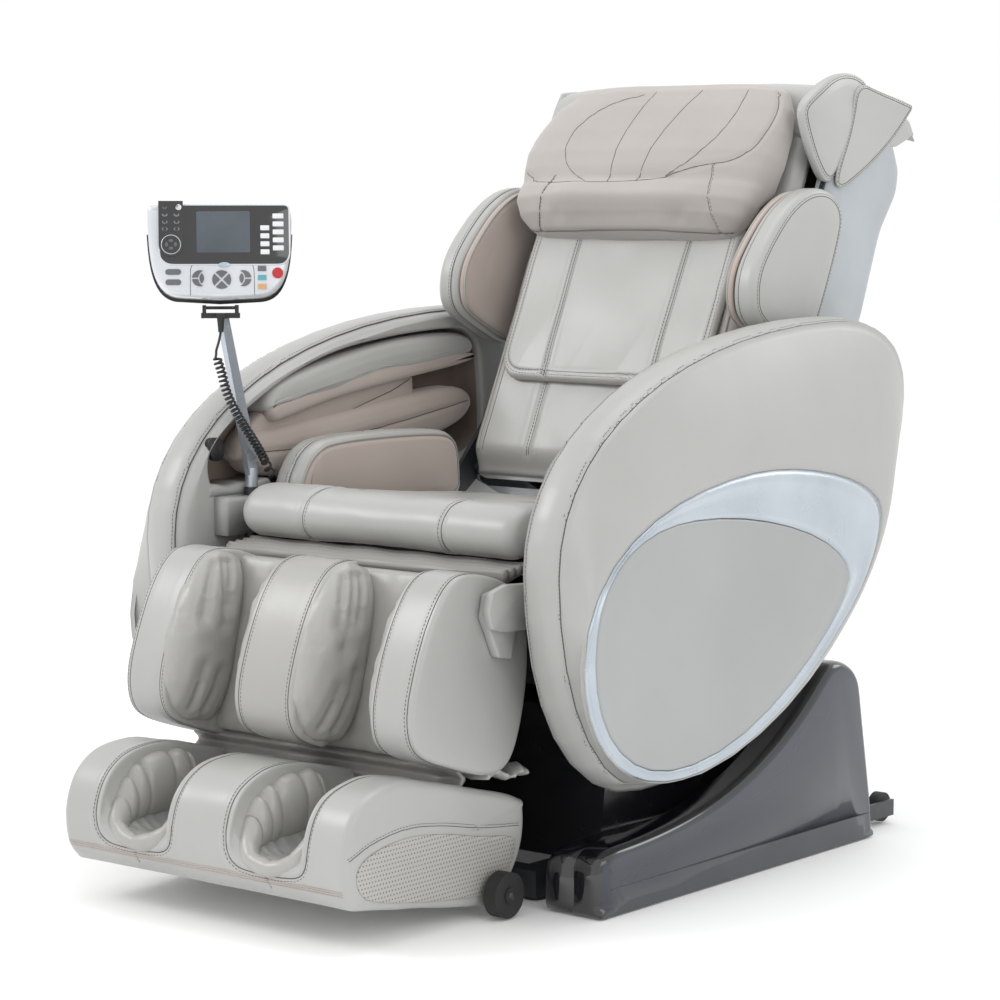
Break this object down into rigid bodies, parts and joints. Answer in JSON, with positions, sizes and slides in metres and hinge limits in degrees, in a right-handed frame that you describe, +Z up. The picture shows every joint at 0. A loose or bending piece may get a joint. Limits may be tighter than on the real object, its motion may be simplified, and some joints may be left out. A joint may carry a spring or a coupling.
{
  "type": "massage chair",
  "caption": "Reclining massage chair with padded arm pods, calf and foot wells, head pillow and a remote console on an arm.",
  "frame": {"origin": "on the floor under the middle of the base", "axes": "+X to the sitter's left, -Y to the front, +Z up"},
  "size_m": [0.914, 1.4265, 1.2229],
  "materials": {
    "leather": "satin grained leather",
    "leather_dark": "satin grained leather",
    "panel_leather": "smooth satin leather",
    "fabric": "fine knitted fabric",
    "trim": "satin silver-blue moulding",
    "skirt": "glossy charcoal moulding",
    "cover": "glossy black moulding",
    "shell": "satin blue-grey moulding",
    "steel": "black powder coat",
    "motor": "satin paint",
    "rod": "ground steel",
    "rubber": "matte black rubber",
    "housing": "grained plastic",
    "arm": "satin anodised",
    "console": "silver-white pearl",
    "panel": "gloss black",
    "cord": "satin black",
    "key_red": "gloss",
    "key_grey": "satin",
    "key_teal": "satin",
    "key_orange": "satin"
  },
  "bodies": {
    "base": {"base_frame": "steel", "side_skirt_left": "skirt", "side_skirt_right": "skirt", "centre_cover": "cover", "control_box": "housing", "air_pump": "housing", "feet": "rubber"},
    "switch_rocker": {"power_switch": "cover"},
    "caster_left": {"rear_caster_left": "rubber"},
    "caster_right": {"rear_caster_right": "rubber"},
    "tilt_motor": {"tilt_actuator": "motor"},
    "tilt_rod": {"tilt_rod": "rod"},
    "seat": {"seat_frame": "steel", "seat_pad": "leather", "hip_bolster_left": "leather", "hip_bolster_right": "leather", "pod_left": "leather", "pod_right": "leather", "pod_trims": "trim", "pod_panels": "panel_leather", "arm_pad_left": "leather", "arm_pad_right": "leather", "forearm_rest_left": "fabric", "forearm_rest_right": "fabric", "seat_gaiter": "leather_dark", "recline_actuator": "motor", "leg_actuator": "motor"},
    "recline_rod": {"recline_rod": "rod"},
    "leg_rod": {"leg_rod": "rod"},
    "back": {"back_frame": "steel", "back_shell": "shell", "back_pad": "leather", "back_hood": "leather", "wing_left": "leather", "wing_right": "leather"},
    "pillow": {"head_pillow": "fabric"},
    "carriage": {"massage_carriage": "motor"},
    "kneader": {"kneading_rollers": "rubber"},
    "leg_rest": {"leg_frame": "steel", "calf_cradle": "leather_dark", "calf_bolster_left": "leather", "calf_bolster_centre": "leather", "calf_bolster_right": "leather"},
    "foot_rest": {"foot_cradle": "leather"},
    "foot_wheel_left": {"foot_roller_left": "rubber"},
    "foot_wheel_right": {"foot_roller_right": "rubber"},
    "remote_arm": {"remote_arm": "arm", "remote_cord": "cord"},
    "console": {"console_body": "console", "console_panel": "panel"},
    "mini_remote": {"mini_remote": "panel"},
    "power_key": {"power_key": "key_red"},
    "grey_key": {"grey_key": "key_grey"},
    "teal_key": {"teal_key": "key_teal"},
    "orange_key": {"orange_key": "key_orange"},
    "upper_rocker_key": {"upper_rocker_key": "key_grey"},
    "lower_rocker_key": {"lower_rocker_key": "key_grey"},
    "keypad_left": {"keypad_left": "key_grey"},
    "keypad_centre": {"keypad_centre": "key_grey"},
    "keypad_right": {"keypad_right": "key_grey"}
  },
  "joints": [
    {"name": "switch_rock", "type": "hinge", "parent": "base", "child": "switch_rocker", "pos_m": [0.173, 0.341, 0.083], "axis": [1, 0, 0], "range_deg": [0, 7]},
    {"name": "caster_left_spin", "type": "hinge", "parent": "base", "child": "caster_left", "pos_m": [-0.367, 0.462, 0.027], "axis": [1, 0, 0], "continuous": true},
    {"name": "caster_right_spin", "type": "hinge", "parent": "base", "child": "caster_right", "pos_m": [0.367, 0.462, 0.027], "axis": [1, 0, 0], "continuous": true},
    {"name": "seat_tilt", "type": "hinge", "parent": "base", "child": "seat", "pos_m": [0, 0.2, 0.33], "axis": [-1, 0, 0], "range_deg": [0, 22]},
    {"name": "tilt_motor_swing", "type": "hinge", "parent": "base", "child": "tilt_motor", "pos_m": [0, -0.18, 0.09], "axis": [-1, 0, 0], "range_deg": [0, 5.2]},
    {"name": "tilt_rod_slide", "type": "slide", "parent": "tilt_motor", "child": "tilt_rod", "axis": [0, 0.0963, 0.9954], "range_m": [0, 0.1325]},
    {"name": "back_recline", "type": "hinge", "parent": "seat", "child": "back", "pos_m": [0, 0.15, 0.545], "axis": [-1, 0, 0], "range_deg": [0, 40]},
    {"name": "recline_rod_slide", "type": "slide", "parent": "seat", "child": "recline_rod", "axis": [0, -1, 0], "range_m": [0, 0.0565]},
    {"name": "leg_raise", "type": "hinge", "parent": "seat", "child": "leg_rest", "pos_m": [0, -0.45, 0.448], "axis": [-1, 0, 0], "range_deg": [0, 70], "deforming": ["seat_gaiter"]},
    {"name": "leg_rod_slide", "type": "slide", "parent": "seat", "child": "leg_rod", "axis": [0, -1, 0], "range_m": [0, 0.0876]},
    {"name": "foot_extend", "type": "slide", "parent": "leg_rest", "child": "foot_rest", "axis": [0, -0.225, -0.9744], "range_m": [0, 0.1005]},
    {"name": "foot_roller_left_spin", "type": "hinge", "parent": "foot_rest", "child": "foot_wheel_left", "pos_m": [-0.301, -0.436, 0.0355], "axis": [1, 0, 0], "continuous": true},
    {"name": "foot_roller_right_spin", "type": "hinge", "parent": "foot_rest", "child": "foot_wheel_right", "pos_m": [0.301, -0.436, 0.0355], "axis": [1, 0, 0], "continuous": true},
    {"name": "pillow_height", "type": "slide", "parent": "back", "child": "pillow", "axis": [0, 0.4226, 0.9063], "range_m": [-0.02, 0.05]},
    {"name": "carriage_travel", "type": "slide", "parent": "back", "child": "carriage", "axis": [0, 0.4226, 0.9063], "range_m": [-0.18, 0.22]},
    {"name": "kneading_spin", "type": "hinge", "parent": "carriage", "child": "kneader", "pos_m": [0, 0.35472, 0.81365], "axis": [1, 0, 0], "continuous": true},
    {"name": "remote_swivel", "type": "hinge", "parent": "seat", "child": "remote_arm", "pos_m": [-0.318, -0.3, 0.55], "axis": [0, 0, 1], "range_deg": [-8, 35], "deforming": ["remote_cord"]},
    {"name": "console_tilt", "type": "hinge", "parent": "remote_arm", "child": "console", "pos_m": [-0.318, -0.366, 0.853], "axis": [0.7071, 0.7071, 0], "range_deg": [-12, 20]},
    {"name": "mini_remote_lift", "type": "slide", "parent": "console", "child": "mini_remote", "axis": [-0.147, 0.147, 0.9781], "range_m": [0, 0.1]},
    {"name": "power_key_press", "type": "slide", "parent": "console", "child": "power_key", "axis": [-0.6917, 0.6917, -0.2079], "range_m": [0, 0.0012], "stiffness_N_per_m": 800},
    {"name": "grey_key_press", "type": "slide", "parent": "console", "child": "grey_key", "axis": [-0.6917, 0.6917, -0.2079], "range_m": [0, 0.0012], "stiffness_N_per_m": 800},
    {"name": "teal_key_press", "type": "slide", "parent": "console", "child": "teal_key", "axis": [-0.6917, 0.6917, -0.2079], "range_m": [0, 0.0012], "stiffness_N_per_m": 800},
    {"name": "orange_key_press", "type": "slide", "parent": "console", "child": "orange_key", "axis": [-0.6917, 0.6917, -0.2079], "range_m": [0, 0.0012], "stiffness_N_per_m": 800},
    {"name": "upper_rocker_key_press", "type": "slide", "parent": "console", "child": "upper_rocker_key", "axis": [-0.6917, 0.6917, -0.2079], "range_m": [0, 0.0012], "stiffness_N_per_m": 800},
    {"name": "lower_rocker_key_press", "type": "slide", "parent": "console", "child": "lower_rocker_key", "axis": [-0.6917, 0.6917, -0.2079], "range_m": [0, 0.0012], "stiffness_N_per_m": 800},
    {"name": "keypad_left_press", "type": "slide", "parent": "console", "child": "keypad_left", "axis": [-0.6917, 0.6917, -0.2079], "range_m": [0, 0.0012], "stiffness_N_per_m": 800},
    {"name": "keypad_centre_press", "type": "slide", "parent": "console", "child": "keypad_centre", "axis": [-0.6917, 0.6917, -0.2079], "range_m": [0, 0.0012], "stiffness_N_per_m": 800},
    {"name": "keypad_right_press", "type": "slide", "parent": "console", "child": "keypad_right", "axis": [-0.6917, 0.6917, -0.2079], "range_m": [0, 0.0012], "stiffness_N_per_m": 800}
  ],
  "couplings": [
    {"joint": "tilt_motor_swing", "follows": "seat_tilt", "ratio": 0.2312},
    {"joint": "tilt_rod_slide", "follows": "seat_tilt", "m_per_rad": 0.34418},
    {"joint": "recline_rod_slide", "follows": "back_recline", "m_per_rad": 0.080357},
    {"joint": "leg_rod_slide", "follows": "leg_raise", "m_per_rad": 0.071538},
    {"joint": "foot_extend", "follows": "leg_raise", "m_per_rad": 0.081851}
  ]
}
